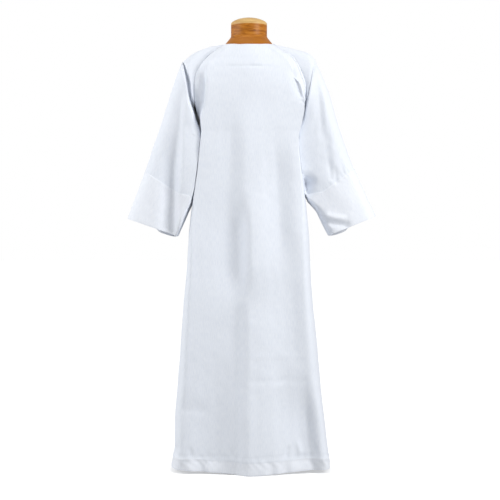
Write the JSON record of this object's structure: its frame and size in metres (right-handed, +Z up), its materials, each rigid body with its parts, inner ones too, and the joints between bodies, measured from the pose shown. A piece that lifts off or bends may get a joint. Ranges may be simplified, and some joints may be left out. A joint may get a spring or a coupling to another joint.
{
  "type": "alb robe on a limbless dress form",
  "caption": "Ankle-length white alb with raglan sleeves, deep cuffs, a closed shoulder overlap and a round neckline, worn by a dress form with a turned wooden neck on a round steel base.",
  "frame": {"origin": "centre of the underside of the stand's base, on the floor", "axes": "+Z up, -Y the robe's front, +X the wearer's left"},
  "size_m": [0.8201, 0.3806, 1.5],
  "materials": {
    "alb_cloth": "plain weave, matt",
    "alb_double_cloth": "two layers of plain weave, matt",
    "form_cover": "stretched linen, matt",
    "neck_wood": "satin varnish",
    "stand_steel": "satin paint"
  },
  "bodies": {
    "root": {"front": "alb_cloth", "back": "alb_cloth", "sleeve_right": "alb_cloth", "sleeve_left": "alb_cloth", "cuff_right": "alb_double_cloth", "cuff_left": "alb_double_cloth", "hem_front": "alb_double_cloth", "hem_back": "alb_double_cloth", "shoulder_placket": "alb_cloth", "form_torso": "form_cover", "form_neck": "neck_wood", "stand_pole": "stand_steel", "stand_base": "stand_steel"}
  },
  "joints": []
}
